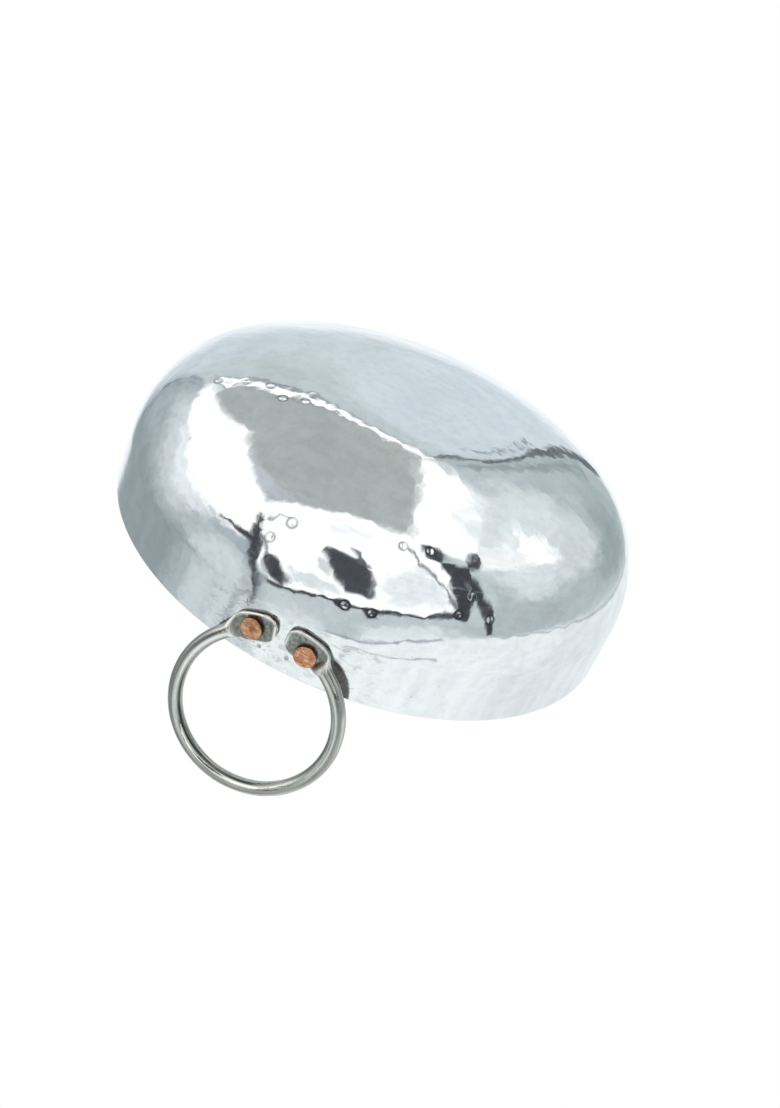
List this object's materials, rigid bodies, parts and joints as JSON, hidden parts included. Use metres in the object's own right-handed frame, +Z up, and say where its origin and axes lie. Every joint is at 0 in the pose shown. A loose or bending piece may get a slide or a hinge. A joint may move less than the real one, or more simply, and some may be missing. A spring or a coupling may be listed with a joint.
{
  "type": "kadai",
  "caption": "Round-bottomed beaten metal cooking bowl with opposed open ring handles, each fixed to the upright band below the rim by rivets.",
  "frame": {"origin": "centre of the flat spot under the sole, on the surface that the kadai stands on", "axes": "+Z up through the mouth; the two handles face each other along X; +X points to the right handle"},
  "size_m": [0.2726, 0.24, 0.1343],
  "materials": {
    "bowl_metal": "hand-hammered and polished like a mirror",
    "handle_steel": "drawn rod, lightly polished, with dark forging streaks",
    "rivet_copper": "beaten copper, scratched"
  },
  "bodies": {
    "root": {"bowl": "bowl_metal", "right_handle": "handle_steel", "left_handle": "handle_steel", "right_handle_rivet_1": "rivet_copper", "right_handle_rivet_2": "rivet_copper", "left_handle_rivet_1": "rivet_copper", "left_handle_rivet_2": "rivet_copper"}
  },
  "joints": []
}
